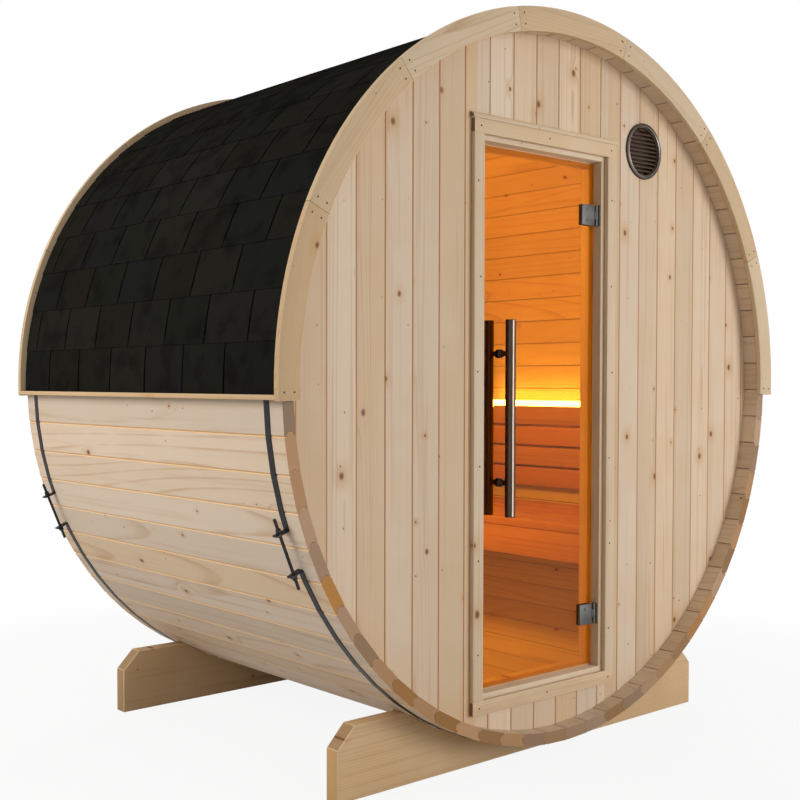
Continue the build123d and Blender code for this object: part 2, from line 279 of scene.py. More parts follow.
def markGrain(board, along, out):
    along, out = Vector(along).normalized(), Vector(out).normalized()
    across = out.cross(along)
    middle = middleOf(board)
    if dice.random() < log["flatSawn"]:
        aside = dice.uniform(-log["flatOff"], log["flatOff"])
    else:
        aside = dice.uniform(*log["sideOff"]) * dice.choice((-1, 1))
    behind = dice.uniform(*log["depth"]) * dice.choice((-1, 1))
    heart = Vector((aside, behind, dice.uniform(0, log["length"])))
    tone, tint = dice.random(), dice.random()
    mesh = board.data
    run = []
    for vertex in mesh.vertices:
        spot = vertex.co - middle
        run += [spot.dot(across) + heart.x, spot.dot(out) + heart.y, spot.dot(along) + heart.z]
    mesh.attributes.new("grain", "FLOAT_VECTOR", "POINT").data.foreach_set("vector", run)
    marks, edges = [], []
    for face in mesh.polygons:
        square = [abs(face.normal.dot(way)) for way in (along, out, across)]
        outward = face.normal.dot(out)
        isEnd = 1.0 if square[0] > log["squareTo"] else 0.0
        # a face turned inward takes a warmer tint as painted warm bounce light
        tintWithPaintedBounce = min(tint + log["paintedBounceTint"], 1) if outward < -log["backFrom"] else tint
        marks += [tone, isEnd, tintWithPaintedBounce]
        # eased faces: +1 on the outer side, where a painted highlight or painted groove shade goes, -1 on the
        # inner side, where painted shade goes
        edges.append(math.copysign(1.0, outward) if max(square) < log["squareTo"] else 0.0)
    mesh.attributes.new("board", "FLOAT_VECTOR", "FACE").data.foreach_set("vector", marks)
    mesh.attributes.new("arris", "FLOAT", "FACE").data.foreach_set("value", edges)
    return board


# shader maths

class Wire:
    def __init__(self, tree, socket=None):
        self.tree = tree
        self.socket = socket

    # any node: its type, its settings first, then what goes into its sockets
    def node(self, kind, settings=None, sockets=None, out=0):
        made = self.tree.nodes.new("ShaderNode" + kind)
        for key, value in (settings or {}).items():
            if key == "stops":
                ramp = made.color_ramp
                while len(ramp.elements) < len(value):
                    ramp.elements.new(0.5)
                for element, (spot, colour) in zip(ramp.elements, value):
                    element.position = spot
                    element.color = colour
            else:
                setattr(made, key, value)
        for key, value in (sockets or {}).items():
            if isinstance(value, Wire):
                self.tree.links.new(value.socket, made.inputs[key])
            else:
                made.inputs[key].default_value = value
        if isinstance(out, tuple):
            return [Wire(self.tree, made.outputs[key]) for key in out]
        return Wire(self.tree, made.outputs[out])

    def maths(self, operation, *values, clamp=False):
        return self.node("Math", {"operation": operation, "use_clamp": clamp}, dict(enumerate(values)))

    def __add__(self, other):
        return self.maths("ADD", self, other)

    def __radd__(self, other):
        return self.maths("ADD", other, self)

    def __sub__(self, other):
        return self.maths("SUBTRACT", self, other)

    def __rsub__(self, other):
        return self.maths("SUBTRACT", other, self)

    def __mul__(self, other):
        return self.maths("MULTIPLY", self, other)

    def __truediv__(self, other):
        return self.maths("DIVIDE", self, other)

    def clamped(self):
        return self.maths("ADD", self, 0.0, clamp=True)

    # 0 below low, 1 above high, eased between
    def ease(self, low, high):
        return self.node("MapRange", {"interpolation_type": "SMOOTHSTEP"}, {0: self, 1: low, 2: high})

    # colours: by this amount from one to the other
    def blend(self, first, second, mode="MIX"):
        return self.node("Mix", {"data_type": "RGBA", "blend_type": mode}, {0: self, 6: first, 7: second}, 2)


def newFinish(name):
    material = bpy.data.materials.new(name)
    material.use_nodes = True
    material.node_tree.nodes.clear()
    return material, Wire(material.node_tree)


def closeFinish(sheet, shader):
    sheet.node("OutputMaterial", {}, {"Surface": shader}, out=())


def coated(material, sheet, inputs):
    closeFinish(sheet, sheet.node("BsdfPrincipled", {}, inputs))
    return material


def rgb(red, green, blue):
    def channel(value):
        value /= 255
        return value / 12.92 if value <= 0.04045 else ((value + 0.055) / 1.055) ** 2.4
    return (channel(red), channel(green), channel(blue), 1.0)


# planed spruce, with rings about a heart beside or behind the board, fibres along it, knots and pin knots;
# knot and pin sizes are shares of the cell that each lies in
knots = dict(squash=0.75, edge=0.02, least=0.02, spread=0.045, heart=0.1, core=0.6, halo=6.0, bend=0.0014)
pins = dict(density=11.0, least=0.014, spread=0.024, share=(0.74, 0.76))
weave = dict(sway=(2.0, 2.0, 0.35), swayBy=(0.04, 0.04, 0.0), fibre=(420.0, 420.0, 7.0),
             streak=(55.0, 55.0, 1.3), cloud=6.0)
# the last colour is a painted shade for inner eased edges
knotColours = dict(pale=rgb(230, 220, 206), warm=rgb(190, 138, 84), knot=rgb(138, 88, 48),
                   core=rgb(66, 42, 27), pin=rgb(70, 46, 30), paintedInnerEdgeShade=rgb(110, 72, 38))


# the sixth argument is the colour painted on outer eased edges: a painted highlight, or in the wall grooves a
# darker colour that is partly painted shade
def spruce(name, pale, warm, dark, ends, arris, ringPitch, knotSpacing, knotShare, ringDepth=0.55):
    material, sheet = newFinish(name)
    grain = sheet.node("Attribute", {"attribute_name": "grain"}, out="Vector")
    board = sheet.node("Attribute", {"attribute_name": "board"}, out="Vector")
    # the eased-edge mask that places the painted edge highlight and shade
    edge = sheet.node("Attribute", {"attribute_name": "arris"}, out="Fac")
    tone, end, tint = sheet.node("SeparateXYZ", {}, {0: board}, (0, 1, 2))
    across, depth, along = sheet.node("SeparateXYZ", {}, {0: grain}, (0, 1, 2))
    plain = 1 - end

    # knots and pin knots lie in cells over the face of the board
    face = sheet.node("CombineXYZ", {}, {0: across, 1: along * knots["squash"], 2: 0.0})
    near, cell = sheet.node("TexVoronoi", {"voronoi_dimensions": "2D"},
                            {"Vector": face, "Scale": 1 / knotSpacing}, (0, 1))
    pick, girth, shade = sheet.node("SeparateColor", {}, {0: cell}, (0, 1, 2))
    has = pick.ease(1 - knotShare, 1 - knotShare + knots["edge"])
    radius = knots["least"] + girth * girth * knots["spread"]
    knot = (1 - near.ease(radius * knots["core"], radius)) * has * plain
    core = (1 - near.ease(radius * knots["heart"], radius * knots["core"])) * has * plain
    halo = (1 - near.ease(0.0, radius * knots["halo"])) * has * plain
    speck, speckCell = sheet.node("TexVoronoi", {"voronoi_dimensions": "2D"},
                                  {"Vector": face, "Scale": pins["density"]}, (0, 1))
    chance, size, strength = sheet.node("SeparateColor", {}, {0: speckCell}, (0, 1, 2))
    width = pins["least"] + size * pins["spread"]
    pin = (1 - speck.ease(width * 0.5, width)) * chance.ease(*pins["share"]) * plain * (0.5 + strength * 0.5)

    slow = sheet.node("Mapping", {}, {"Vector": grain, "Scale": weave["sway"]})
    sway = sheet.node("TexNoise", {}, {"Vector": slow, "Scale": 1.0, "Detail": 1.0}, 1)
    flat = sheet.node("Mapping", {}, {"Vector": grain, "Scale": (1, 1, 0)})
    bent = sheet.node("VectorMath", {"operation": "MULTIPLY_ADD"}, {0: sway, 1: weave["swayBy"], 2: flat})
    distance = sheet.node("VectorMath", {"operation": "LENGTH"}, {0: bent}, "Value")
    rings = (distance + halo * knots["bend"]) / ringPitch
    ring = rings.maths("FRACT", rings)
    late = ring.ease(0.7, 0.94) * (1 - ring.ease(0.94, 1.0))

    thread = sheet.node("Mapping", {}, {"Vector": grain, "Scale": weave["fibre"]})
    fibre = sheet.node("TexNoise", {}, {"Vector": thread, "Scale": 1.0, "Detail": 3.0, "Roughness": 0.6})
    wide = sheet.node("Mapping", {}, {"Vector": grain, "Scale": weave["streak"]})
    streak = sheet.node("TexNoise", {}, {"Vector": wide, "Scale": 1.0, "Detail": 2.0})
    cloud = sheet.node("TexNoise", {}, {"Vector": grain, "Scale": weave["cloud"], "Detail": 2.0})

    # tint here also carries the painted warm bounce light on back faces
    colour = (tint * 0.6 + cloud * 0.4).ease(0.2, 0.85).blend(pale, warm)
    lines = late * ringDepth * (0.4 + tone * 0.6) * cloud.ease(0.2, 0.6)
    colour = (lines + streak.ease(0.52, 0.78) * 0.32).clamped().blend(colour, dark)
    colour = (fibre * 0.14).blend(colour, dark)
    colour = sheet.node("HueSaturation", {}, {"Value": 0.915 + tone * 0.16, "Color": colour})
    paleHalo = halo * halo * 0.22 * shade.ease(0.5, 0.6) * cloud.ease(0.3, 0.65)
    colour = paleHalo.blend(colour, knotColours["pale"])
    warmHalo = halo * halo * (0.5 - shade.ease(0.5, 0.6) * 0.2)
    colour = warmHalo.blend(colour, knotColours["warm"])
    colour = (knot * 0.85).blend(colour, knotColours["knot"])
    colour = (core * 0.7).blend(colour, knotColours["core"])
    colour = (pin * 0.9).blend(colour, knotColours["pin"])
    # painted light on eased edges: outer ones take the edge colour as a painted highlight (painted shade in
    # the wall grooves), inner ones a painted dark shade
    colour = (edge.ease(0, 1) * plain * 0.75).blend(colour, arris)
    colour = ((0 - edge).ease(0, 1) * plain * 0.45).blend(colour, knotColours["paintedInnerEdgeShade"])
    cut = sheet.node("HueSaturation", {}, {"Value": 0.66 + tone * 0.6 + cloud * 0.1,
                                           "Saturation": 0.7 + tint * 0.45, "Color": ends})
    colour = (end * 0.94).blend(colour, cut)

    height = fibre * 0.5 + lines * 0.6 - core * 0.3
    bump = sheet.node("Bump", {}, {"Strength": 0.35, "Distance": 0.0006, "Height": height})
    return coated(material, sheet, {"Base Color": colour, "Roughness": 0.55 + fibre * 0.12 - knot * 0.1,
                                    "Specular IOR Level": 0.15, "Normal": bump})


# bitumen shingle: near black with mineral grit, each tab a little off the next
def shingleFelt():
    material, sheet = newFinish("shingleFelt")
    board = sheet.node("Attribute", {"attribute_name": "board"}, out="Vector")
    tone, tint = sheet.node("SeparateXYZ", {}, {0: board}, (0, 2))
    spot = sheet.node("TexCoord", {}, {}, "Object")
    grit = sheet.node("TexNoise", {}, {"Vector": spot, "Scale": 420.0, "Detail": 3.0, "Roughness": 0.7})
    patch = sheet.node("TexNoise", {}, {"Vector": spot, "Scale": 14.0, "Detail": 3.0})
    colour = tint.ease(0.3, 0.4).blend(rgb(30, 28, 24), rgb(28, 29, 25))
    colour = tint.ease(0.7, 0.8).blend(colour, rgb(28, 28, 28))
    colour = (tone.ease(0.4, 1.0) * 0.5).blend(colour, rgb(38, 36, 32))
    colour = (grit.ease(0.5, 0.75) * 0.5).blend(colour, rgb(52, 50, 45))
    colour = (patch.ease(0.45, 0.7) * 0.45).blend(colour, rgb(13, 12, 11))
    bump = sheet.node("Bump", {}, {"Strength": 0.7, "Distance": 0.0012, "Height": grit + patch * 0.4})
    return coated(material, sheet, {"Base Color": colour, "Roughness": 0.82 + grit * 0.15,
                                    "Specular IOR Level": 0.0, "Normal": bump})


# metal with fine marks drawn out along one way, and wear in patches
def drawnMetal(name, pale, dark, stretch, rough, metallic=1.0, gloss=0.5):
    material, sheet = newFinish(name)
    spot = sheet.node("TexCoord", {}, {}, "Object")
    drawn = sheet.node("Mapping", {}, {"Vector": spot, "Scale": stretch})
    lines = sheet.node("TexNoise", {}, {"Vector": drawn, "Scale": 1.0, "Detail": 4.0, "Roughness": 0.65})
    patch = sheet.node("TexNoise", {}, {"Vector": spot, "Scale": 22.0, "Detail": 3.0})
    colour = (lines * 0.7 + patch * 0.3).ease(0.3, 0.7).blend(dark, pale)
    bump = sheet.node("Bump", {}, {"Strength": 0.15, "Distance": 0.0003, "Height": lines})
    return coated(material, sheet, {"Base Color": colour, "Metallic": metallic,
                                    "Roughness": rough + (lines - 0.5) * 0.2 + (patch - 0.5) * 0.1,
                                    "Specular IOR Level": gloss, "Normal": bump})


def bronzeGlass():
    material, sheet = newFinish("bronzeGlass")
    spot = sheet.node("TexCoord", {}, {}, "Object")
    smear = sheet.node("TexNoise", {}, {"Vector": spot, "Scale": 9.0, "Detail": 3.0})
    colour = smear.ease(0.3, 0.7).blend((0.86, 0.46, 0.035, 1), (0.88, 0.48, 0.045, 1))
    return coated(material, sheet, {"Base Color": colour, "Roughness": smear * 0.012,
                                    "Transmission Weight": 1.0, "IOR": 1.2, "Specular IOR Level": 0.03})


# the pane's polished edges: orange, with a painted glow for the light they show
def paintedGlowGlassRim():
    material, sheet = newFinish("paintedGlowGlassRim")
    spot = sheet.node("TexCoord", {}, {}, "Object")
    paintedGlowPatch = sheet.node("TexNoise", {}, {"Vector": spot, "Scale": 12.0, "Detail": 2.0})
    colour = paintedGlowPatch.ease(0.3, 0.7).blend(rgb(150, 92, 20), rgb(190, 128, 40))
    return coated(material, sheet, {"Base Color": colour, "Roughness": 0.25 + paintedGlowPatch * 0.1,
                                    "Emission Color": colour, "Emission Strength": 0.25})


def ledDiffuser():
    material, sheet = newFinish("ledDiffuser")
    spot = sheet.node("TexCoord", {}, {}, "Object")
    dots = sheet.node("TexNoise", {}, {"Vector": spot, "Scale": 60.0, "Detail": 1.0})
    colour = dots.ease(0.3, 0.7).blend((1.0, 0.90, 0.92, 1), (1.0, 0.92, 0.96, 1))
    return coated(material, sheet, {"Base Color": colour, "Roughness": 0.4 + dots * 0.1,
                                    "Emission Color": colour, "Emission Strength": 44.0})


# the fifth colour given to each wood is painted on its outer eased edges: a painted highlight on staves,
# trim, casings, cradles and bench, and on the wall boards a darker groove colour that is partly the wood's
# own and partly painted shade
staveWood = spruce("staveWood", rgb(216, 199, 180), rgb(215, 190, 160), rgb(178, 136, 94), rgb(161, 116, 68),
                   rgb(235, 196, 146), 0.0027, knotSpacing=0.17, knotShare=0.45, ringDepth=0.5)
wallWood = spruce("wallWood", rgb(220, 200, 177), rgb(216, 185, 148), rgb(184, 144, 102), rgb(150, 112, 74),
                  rgb(192, 138, 78), 0.0045, knotSpacing=0.15, knotShare=0.45, ringDepth=0.6)
trimWood = spruce("trimWood", rgb(208, 186, 156), rgb(205, 172, 130), rgb(172, 132, 88), rgb(132, 94, 60),
                  rgb(214, 186, 146), 0.006, knotSpacing=0.26, knotShare=0.25)
casingWood = spruce("casingWood", rgb(220, 200, 174), rgb(216, 184, 144), rgb(182, 142, 98), rgb(120, 92, 56),
                    rgb(222, 194, 156), 0.005, knotSpacing=0.26, knotShare=0.3)
cradleWood = spruce("cradleWood", rgb(212, 186, 152), rgb(204, 170, 126), rgb(168, 124, 78),
                    rgb(186, 150, 106), rgb(218, 188, 144), 0.007, knotSpacing=0.16, knotShare=0.5,
                    ringDepth=0.5)
benchWood = spruce("benchWood", rgb(198, 150, 116), rgb(200, 140, 104), rgb(152, 94, 62), rgb(150, 96, 62),
                   rgb(206, 150, 106), 0.008, knotSpacing=0.3, knotShare=0.2)
felt = shingleFelt()
bandSteel = drawnMetal("bandSteel", rgb(54, 53, 54), rgb(36, 35, 36), (60.0, 500.0, 60.0), 0.5, 0.85)
handleSteel = drawnMetal("handleSteel", rgb(82, 70, 61), rgb(66, 56, 49), (700.0, 700.0, 12.0), 0.06)
hingeSteel = drawnMetal("hingeSteel", rgb(90, 89, 87), rgb(78, 77, 75), (300.0, 300.0, 40.0), 0.5, 0.35, 0.35)
nailSteel = drawnMetal("nailSteel", rgb(52, 45, 39), rgb(38, 33, 29), (200.0, 200.0, 200.0), 0.5, 0.8)
profileGrey = drawnMetal("profileGrey", rgb(150, 146, 140), rgb(132, 128, 122), (30.0, 400.0, 400.0),
                         0.4, 0.8)
ventSteel = drawnMetal("ventSteel", rgb(134, 130, 124), rgb(106, 102, 97), (200.0, 200.0, 200.0), 0.3)
ventDark = drawnMetal("ventDark", rgb(64, 52, 44), rgb(48, 39, 33), (120.0, 120.0, 120.0), 0.45, 0.6)
louvrePaint = drawnMetal("louvrePaint", rgb(94, 70, 54), rgb(76, 56, 43), (40.0, 300.0, 300.0), 0.5, 0.3)
glass = bronzeGlass()
paintedGlowRim = paintedGlowGlassRim()
led = ledDiffuser()
print("finishes ready")


# staves: one modelled at the top of the ring, with a half-round bead and cove, then turned round the axis
stave = dict(count=69, thickness=0.033, gap=0.0006, outerEase=0.0032, innerEase=0.002,
             beadRadius=0.0105, beadSides=20, beadRoom=0.0009, crozeRoom=0.0005, cutSide=0.1, cutOver=0.02)
half = math.pi / stave["count"]
staveOuter = cornerRadius * math.cos(half)
staveInner = staveOuter - stave["thickness"]
wallLow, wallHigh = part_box("front_wall_over_door")
rearLow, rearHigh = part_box("rear_wall")
crozeRadius = wallHigh.z - axisZ


def flatWidth(apothem):
    return 2 * apothem * math.tan(half) - stave["gap"]


def makeStave():
    wide, narrow = flatWidth(staveOuter), flatWidth(staveInner)
    length = rearY - frontY
    body = cuboid("stave", (-wide / 2, frontY, staveInner), (wide / 2, rearY, staveOuter))
    pickFaces(body, lambda face: face.normal.z < -0.5)
    bpy.ops.transform.resize(value=(narrow / wide, 1, 1), center_override=(0, 0, staveInner))
    objectMode()

    def longEdge(a, b, height):
        return abs(a.y - b.y) > length / 2 and abs(a.z - height) < close
    pickEdges(body, lambda a, b: longEdge(a, b, staveOuter))
    bpy.ops.mesh.bevel(offset=stave["outerEase"], segments=1)
    objectMode()
    pickEdges(body, lambda a, b: longEdge(a, b, staveInner))
    bpy.ops.mesh.bevel(offset=stave["innerEase"], segments=1)
    objectMode()
    middle = (staveOuter + staveInner) / 2
    bead, cove = stave["beadRadius"], stave["beadRadius"] + stave["beadRoom"]
    for side, radius, operation, over in ((1, bead, "UNION", 0.0),
                                          (-1, cove, "DIFFERENCE", stave["cutOver"])):
        deselect()
        bpy.ops.mesh.primitive_cylinder_add(vertices=stave["beadSides"], radius=radius, depth=length + over,
                                            location=(0, 0, 0), rotation=(math.pi / 2, 0, 0))
        bar = bpy.context.object
        turn = Matrix.Rotation(side * half, 4, "Y")
        place(bar, turn @ Matrix.Translation((0, (frontY + rearY) / 2, middle)) @ bar.matrix_world)
        carve(body, bar, operation)
    room, aside, below = stave["crozeRoom"], stave["cutSide"], staveInner - stave["cutOver"]
    for low, high in ((wallLow.y, wallHigh.y), (rearLow.y, rearHigh.y)):
        carve(body, cuboid("croze", (-aside, low - room, below), (aside, high + room, crozeRadius + room)))
    mergeUp(body)
    return body


masterStave = makeStave()
corners = [p for p in ringPoints if fromAxis(p) > cornerRadius - 2 * close]
jointAngle = min((math.atan2(p.z - axisZ, p.x) for p in corners), key=abs)
groupWay = {}
for node in staveNodes:
    ways = [Vector((p.x, 0, p.z - axisZ)).normalized() for p in pointsOf(node)]
    groupWay[node] = sum(ways, Vector()).normalized()
groups = {node: [] for node in staveNodes}
for count in range(stave["count"]):
    angle = jointAngle + (2 * count + 1) * half
    way = Vector((math.cos(angle), 0, math.sin(angle)))
    node = max(staveNodes, key=lambda name: groupWay[name].dot(way))
    turn = Matrix.Translation((0, 0, axisZ)) @ Matrix.Rotation(math.pi / 2 - angle, 4, "Y")
    board = twin(masterStave, f"{node}.{count}", turn)
    groups[node].append(markGrain(board, endways, way))
bpy.data.objects.remove(masterStave)
for part, node in zip(staveParts, staveNodes):
    finish(joined("barrelStaves_" + part, groups[node]), staveWood, [node])
print("staves ready")


# end walls: upright tongued boards with a V along each joint
walls = dict(pitch=0.0935, phase=-0.3624, vee=0.0024, least=0.012, beyond=1)


def grooveLines(low, high):
    first = math.ceil((low + walls["least"] - walls["phase"]) / walls["pitch"])
    last = math.floor((high - walls["least"] - walls["phase"]) / walls["pitch"])
    return [walls["phase"] + walls["pitch"] * step for step in range(first, last + 1)]


def boardWall(name, node):
    low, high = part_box(node)
    lines = [low.x - walls["beyond"]] + grooveLines(low.x, high.x) + [high.x + walls["beyond"]]
    sheet = copyOf(node, name)
    boards = []
    for left, right in zip(lines, lines[1:]):
        board = twin(sheet, f"{name}.board")
        edit(board)
        bpy.ops.mesh.bisect(plane_co=(left, 0, 0), plane_no=(1, 0, 0), clear_inner=True, use_fill=True)
        bpy.ops.mesh.select_all(action="SELECT")
        bpy.ops.mesh.bisect(plane_co=(right, 0, 0), plane_no=(1, 0, 0), clear_outer=True, use_fill=True)
        objectMode()

        def onVee(a, b):
            onFace = min(abs(a.y - low.y), abs(a.y - high.y)) < close and abs(a.y - b.y) < close
            onCut = abs(a.x - b.x) < same and min(abs(a.x - left), abs(a.x - right)) < same
            return onFace and onCut
        pickEdges(board, onVee)
        bpy.ops.mesh.bevel(offset=walls["vee"], segments=1)
        objectMode()
        boards.append(markGrain(board, upright, forward))
    bpy.data.objects.remove(sheet)
    return finish(joined(name, boards), wallWood, [node])


boardWall("frontBoards_left", "front_wall_left")
boardWall("frontBoards_right", "front_wall_right")
boardWall("frontBoards_overDoor", "front_wall_over_door")
boardWall("frontBoards_underDoor", "front_wall_under_door")
boardWall("rearBoards", "rear_wall")
print("walls ready")


# planed timber cut to its node's shape, arrises eased, one log for each board
def timber(name, node, along, out, material, ease):
    boards = loose(copyOf(node, name))
    for board in boards:
        soften(board, ease)
        markGrain(board, along, out)
    return finish(joined(name, boards), material, [node])


doorFrame = [("jambLeft", "door_jamb_left", upright), ("jambRight", "door_jamb_right", upright),
             ("frameHead", "door_head", level), ("frameSill", "door_sill", level),
             ("casingLeft", "casing_left", upright), ("casingRight", "casing_right", upright),
             ("casingHead", "casing_head", level), ("casingBottom", "casing_bottom", level),
             ("dripCap", "drip_cap", level)]
for name, node, along in doorFrame:
    timber(name, node, along, forward, casingWood, ease=0.0015)
timber("cradleFront", "front_cradle", level, forward, cradleWood, ease=0.003)
timber("cradleRear", "rear_cradle", level, forward, cradleWood, ease=0.003)
timber("eaveLaths", "eave_battens", endways, upright, trimWood, ease=0.001)
timber("benchSlats", "bench_seat", endways, upright, benchWood, ease=0.003)
timber("benchFront", "bench_apron", endways, leftward, benchWood, ease=0.002)
timber("benchBearers", "bench_ledgers", level, forward, benchWood, ease=0.002)
timber("backSlats", "backrest_slats", endways, leftward, benchWood, ease=0.003)
timber("backPosts", "backrest_posts", upright, leftward, benchWood, ease=0.0015)
print("timber ready")


# arched fascias: one board swept about the axis, copied along the arch
fascia = dict(boards=7, joint=0.0006, steps=14, ease=0.0018)


# an arch's inner and outer radius, the angle it starts at on the right, and the sweep of each board
def archSpan(node):
    spots = pointsOf(node)
    radii = [fromAxis(p) for p in spots]
    startAngle = math.asin(min((p.z - axisZ) / fromAxis(p) for p in spots if p.x > 0))
    return min(radii), max(radii), startAngle, (math.pi - 2 * startAngle) / fascia["boards"]


def fasciaArch(name, node):
    low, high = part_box(node)
    inner, outer, startAngle, sweep = archSpan(node)
    gap = fascia["joint"] / outer
    deselect()
    bpy.ops.mesh.primitive_plane_add(size=1, location=((inner + outer) / 2, (low.y + high.y) / 2, 0))
    board = bpy.context.object
    place(board, board.matrix_world @ Matrix.Diagonal((outer - inner, high.y - low.y, 1, 1)))
    edit(board)
    bpy.ops.mesh.spin(steps=fascia["steps"], angle=sweep - gap, center=(0, 0, 0), axis=(0, 1, 0))
    objectMode()
    closeEnds(board)
    boards = []
    for step in range(fascia["boards"]):
        angle = startAngle + step * sweep + gap / 2
        turn = Matrix.Translation((0, 0, axisZ)) @ Matrix.Rotation(-angle, 4, "Y")
        copy = soften(twin(board, f"{name}.{step}", turn), fascia["ease"])
        middle = angle + sweep / 2
        chord = (-math.sin(middle), 0, math.cos(middle))
        boards.append(markGrain(copy, chord, forward))
    bpy.data.objects.remove(board)
    return finish(joined(name, boards), trimWood, [node])


fasciaArch("archFront", "front_fascia")
fasciaArch("archRear", "rear_fascia")
print("fascias ready")


# roof: rows of shingle tabs over a felt underlay, half a tab on from row to row, and caps on the ridge
roof = dict(rows=13, tabPitch=0.186, slot=0.0065, firstSlot=0.224, underlay=0.0015, thickness=0.0021,
            lift=0.0021, lap=0.02, least=0.05, steps=5, slotSteps=(-2, 9), slack=0.0006, skew=0.0008,
            underlaySteps=40, capHalf=0.085, capLength=0.2, capGap=0.001, capLift=0.0016, capSteps=6)
roofLow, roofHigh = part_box("roof_right")
roofSpots = pointsOf("roof_right")
roofInner = min(fromAxis(p) for p in roofSpots)
eaveAngle = min(math.atan2(p.z - axisZ, p.x) for p in roofSpots)
rowSweep = (math.pi / 2 - eaveAngle) / roof["rows"]


# a strip across the barrel from one angle to another, its lower edge standing off by lift
def shell(name, low, high, startAngle, sweep, inner, thickness, lift, steps):
    deselect()
    tilt = lift / sweep
    bpy.ops.mesh.primitive_plane_add(size=1, location=(inner + lift + thickness / 2, (low + high) / 2, 0))
    strip = bpy.context.object
    place(strip, strip.matrix_world @ Matrix.Diagonal((thickness, high - low, 1, 1)))
    edit(strip)
    bpy.ops.mesh.spin(steps=steps, angle=sweep, center=(0, 0, -tilt), axis=(0, 1, 0))
    objectMode()
    closeEnds(strip)
    strip.data.transform(Matrix.Rotation(-startAngle, 4, "Y"))
    return strip


def markTab(tab):
    tone, lean, tint = dice.random(), dice.random(), dice.random()
    board = tab.data.attributes.new("board", "FLOAT_VECTOR", "FACE")
    board.data.foreach_set("vector", [tone, lean, tint] * len(tab.data.polygons))
    return tab


def tabEnds(row):
    shift = roof["firstSlot"] - (roof["tabPitch"] / 2 if row % 2 else 0)
    slots = [frontY + shift + roof["tabPitch"] * step for step in range(*roof["slotSteps"])]
    inside = [y for y in slots if roofLow.y + roof["least"] < y < roofHigh.y - roof["least"]]
    return [roofLow.y] + inside + [roofHigh.y]


def roofHalf(name, node, side):
    turnRound = Matrix.Rotation(0 if side > 0 else math.pi, 4, "Z")
    pieces = [markTab(shell("underlay", roofLow.y, roofHigh.y, eaveAngle, math.pi / 2 - eaveAngle,
                            roofInner, roof["underlay"], 0.0, roof["underlaySteps"]))]
    base = roofInner + roof["underlay"]
    for row in range(roof["rows"]):
        ends = tabEnds(row)
        if side < 0:
            ends = [-y for y in reversed(ends)]
        start = eaveAngle + row * rowSweep
        reach = min(rowSweep + roof["lap"], math.pi / 2 - start)
        for low, high in zip(ends, ends[1:]):
            slack = dice.uniform(0, roof["slack"])
            angle = start + dice.uniform(-roof["skew"], roof["skew"])
            tab = shell("tab", low + roof["slot"] / 2, high - roof["slot"] / 2, angle, reach, base,
                        roof["thickness"], roof["lift"] + slack, roof["steps"])
            pieces.append(markTab(tab))
    for piece in pieces:
        piece.data.transform(Matrix.Translation((0, 0, axisZ)) @ turnRound)
    return finish(joined(name, pieces), felt, [node])


roofHalf("shingles_right", "roof_right", 1)
roofHalf("shingles_left", "roof_left", -1)


def ridgeCaps():
    base = roofInner + roof["underlay"] + roof["thickness"]
    caps = []
    count = round((roofHigh.y - roofLow.y) / roof["capLength"])
    pitch = (roofHigh.y - roofLow.y) / count
    for step in range(count):
        low = roofLow.y + step * pitch
        cap = shell("cap", low + roof["capGap"], low + pitch - roof["capGap"], math.pi / 2 - roof["capHalf"],
                    2 * roof["capHalf"], base, roof["thickness"], 0.0, roof["capSteps"])
        for vertex in cap.data.vertices:
            if vertex.co.y < low + pitch / 2:
                vertex.co *= 1 + roof["capLift"] / base
        cap.data.transform(Matrix.Translation((0, 0, axisZ)))
        caps.append(markTab(cap))
    return finish(joined("ridgeCaps", caps), felt)


ridgeCaps()
print("roof ready")


# the door: tinted pane with polished edges that carry a painted orange glow, bar handles both sides, hinge
# plates
def doorPane():
    pane = soften(copyOf("door_glass", "doorPane"), 0.0008, 1)
    finish(pane, glass, ["door_glass"], "door")
    # the pane's edge faces take the painted glow
    pane.data.materials.append(paintedGlowRim)
    for face in pane.data.polygons:
        face.material_index = 1 if abs(face.normal.y) < 0.5 else 0


doorPane()
handle = dict(sides=40, endEase=0.0015, postInset=0.0925, postRadius=0.0075, postIn=0.55, postSides=28,
              rosetteRadius=0.0125, rosetteDepth=0.005, rosetteEase=0.001, collarRadius=0.0098,
              offGlass=0.0002)


def barHandle(name, node):
    low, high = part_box(node)
    paneLow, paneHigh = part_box("door_glass")
    radius = (high.x - low.x) / 2
    outside = low.y < paneLow.y
    face = paneLow.y if outside else paneHigh.y
    way = -1 if outside else 1
    axisY = (low.y + radius) if outside else (high.y - radius)
    x = (low.x + high.x) / 2
    ease = handle["endEase"]
    tip = [(radius * 0.7, ease * 0.8), (radius * 0.74, 0.0), (radius - ease, 0.0),
           (radius - ease * 0.3, ease * 0.3), (radius, ease), (radius, ease * 2)]
    rings = [(r, low.z + z) for r, z in tip] + [(r, high.z - z) for r, z in reversed(tip)]
    bar = turned("bar", rings, handle["sides"])
    bar.data.transform(Matrix.Translation((x, axisY, 0)))
    parts = [bar]
    reach = abs(axisY - face)
    for z in (low.z + handle["postInset"], high.z - handle["postInset"]):
        rosette, depth = handle["rosetteRadius"], handle["rosetteDepth"]
        collar, post = handle["collarRadius"], handle["postRadius"]
        stem = turned("post", [(rosette, handle["offGlass"]), (rosette, depth * 0.7),
                               (rosette - handle["rosetteEase"], depth), (collar, depth),
                               (collar, depth * 1.7), (post, depth * 2.0),
                               (post, reach - radius * handle["postIn"])], handle["postSides"])
        parts.append(place(stem, facing((0, way, 0), (x, face, z))))
    return finish(joined(name, parts), handleSteel, [node], "door")


barHandle("pullOuter", "outer_handle")
barHandle("pullInner", "inner_handle")

